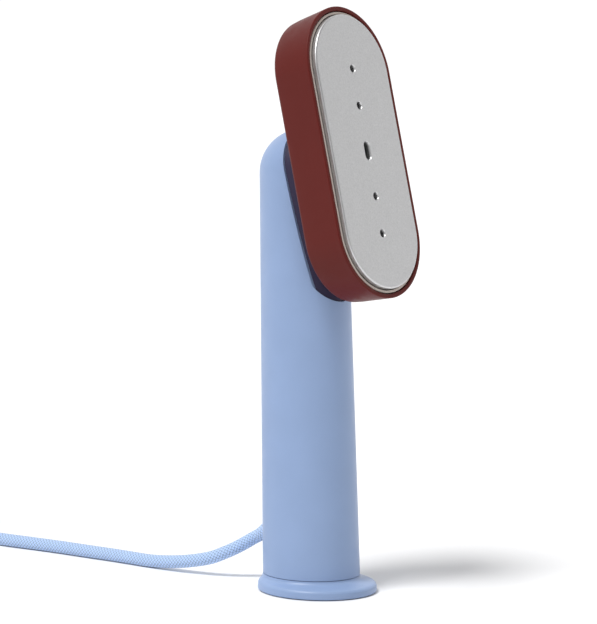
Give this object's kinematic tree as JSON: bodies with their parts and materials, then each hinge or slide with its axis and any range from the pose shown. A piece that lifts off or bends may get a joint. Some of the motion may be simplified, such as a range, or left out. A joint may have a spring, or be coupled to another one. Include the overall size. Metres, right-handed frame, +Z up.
{
  "type": "garment steamer",
  "caption": "Handheld garment steamer with a tilted stadium-shaped soleplate head on a tapered tube handle that stands on its flared tank foot, with a braided mains cord.",
  "frame": {"origin": "on the floor, on the flat underside of the foot pad, below the handle's axis at the seam", "axes": "+Z up; -Y is the front, which the soleplate faces; +Y is the back, where the cord leaves; +X is across the head"},
  "size_m": [0.095, 0.3726, 0.2862],
  "materials": {
    "light_blue_plastic": "satin moulded",
    "dark_blue_plastic": "satin moulded",
    "burgundy_plastic": "satin moulded",
    "brushed_aluminium": "finely blasted",
    "beige_silicone": "matte",
    "clear_silicone": "translucent",
    "steel": "bright",
    "nickel_plated_brass": "nickel plated",
    "black_plastic": "matte",
    "grey_plastic": "matte",
    "white_plastic": "satin",
    "clear_plastic": "clear",
    "rubber": "matte",
    "circuit_board_green": "lacquered",
    "blue_textile_braid": "woven braid",
    "dark_blue_webbing": "hook and loop",
    "brown_wire": "smooth",
    "blue_wire": "smooth",
    "yellow_green_wire": "smooth"
  },
  "bodies": {
    "handle": {"body_shell": "light_blue_plastic", "neck": "dark_blue_plastic", "neck_screw_1": "steel", "neck_screw_2": "steel", "head_shell": "burgundy_plastic", "seal_ring": "beige_silicone", "insulating_frame": "black_plastic", "soleplate": "brushed_aluminium", "heating_element": "steel", "chamber_cover": "steel", "cover_screw_1": "steel", "cover_screw_2": "steel", "thermostat": "white_plastic", "thermal_fuse": "white_plastic", "delivery_hose": "clear_silicone", "pump_body": "grey_plastic", "pump_yoke": "steel", "chassis": "grey_plastic", "circuit_board": "circuit_board_green", "power_switch": "black_plastic", "steam_switch": "black_plastic", "triac": "black_plastic", "light_pipe": "clear_plastic", "dip_tube": "clear_plastic", "inlet_strainer": "white_plastic", "wire_live": "brown_wire", "wire_neutral": "blue_wire", "wire_earth": "yellow_green_wire", "heater_wire_live": "brown_wire", "heater_wire_neutral": "blue_wire", "strain_relief": "light_blue_plastic", "cord_tube": "blue_textile_braid", "cord_coil": "blue_textile_braid", "cord_tail": "blue_textile_braid", "cord_tie": "dark_blue_webbing", "plug_boot": "white_plastic", "plug_body": "white_plastic", "plug_pin_1": "nickel_plated_brass", "plug_pin_2": "nickel_plated_brass"},
    "tank_unit": {"tank": "clear_plastic", "foot": "light_blue_plastic", "foot_pad": "rubber", "foot_seal": "clear_silicone"},
    "tank_cover": {"tank_lid": "dark_blue_plastic", "tube_grommet": "clear_silicone"},
    "power_key": {"power_button": "light_blue_plastic"},
    "steam_key": {"steam_button": "dark_blue_plastic"}
  },
  "joints": [
    {"name": "tank_slide", "type": "slide", "parent": "handle", "child": "tank_unit", "axis": [0, -0.0551, -0.9985], "range_m": [0, 0.095]},
    {"name": "tank_cover_lift", "type": "slide", "parent": "tank_unit", "child": "tank_cover", "axis": [0, 0.0551, 0.9985], "range_m": [0, 0.012]},
    {"name": "power_press", "type": "slide", "parent": "handle", "child": "power_key", "axis": [0, -0.9985, 0.0551], "range_m": [0, 0.0014], "stiffness_N_per_m": 1500, "springref_m": -0.0008},
    {"name": "steam_press", "type": "slide", "parent": "handle", "child": "steam_key", "axis": [0, -0.9985, 0.0551], "range_m": [0, 0.0014], "stiffness_N_per_m": 1500, "springref_m": -0.0008}
  ]
}
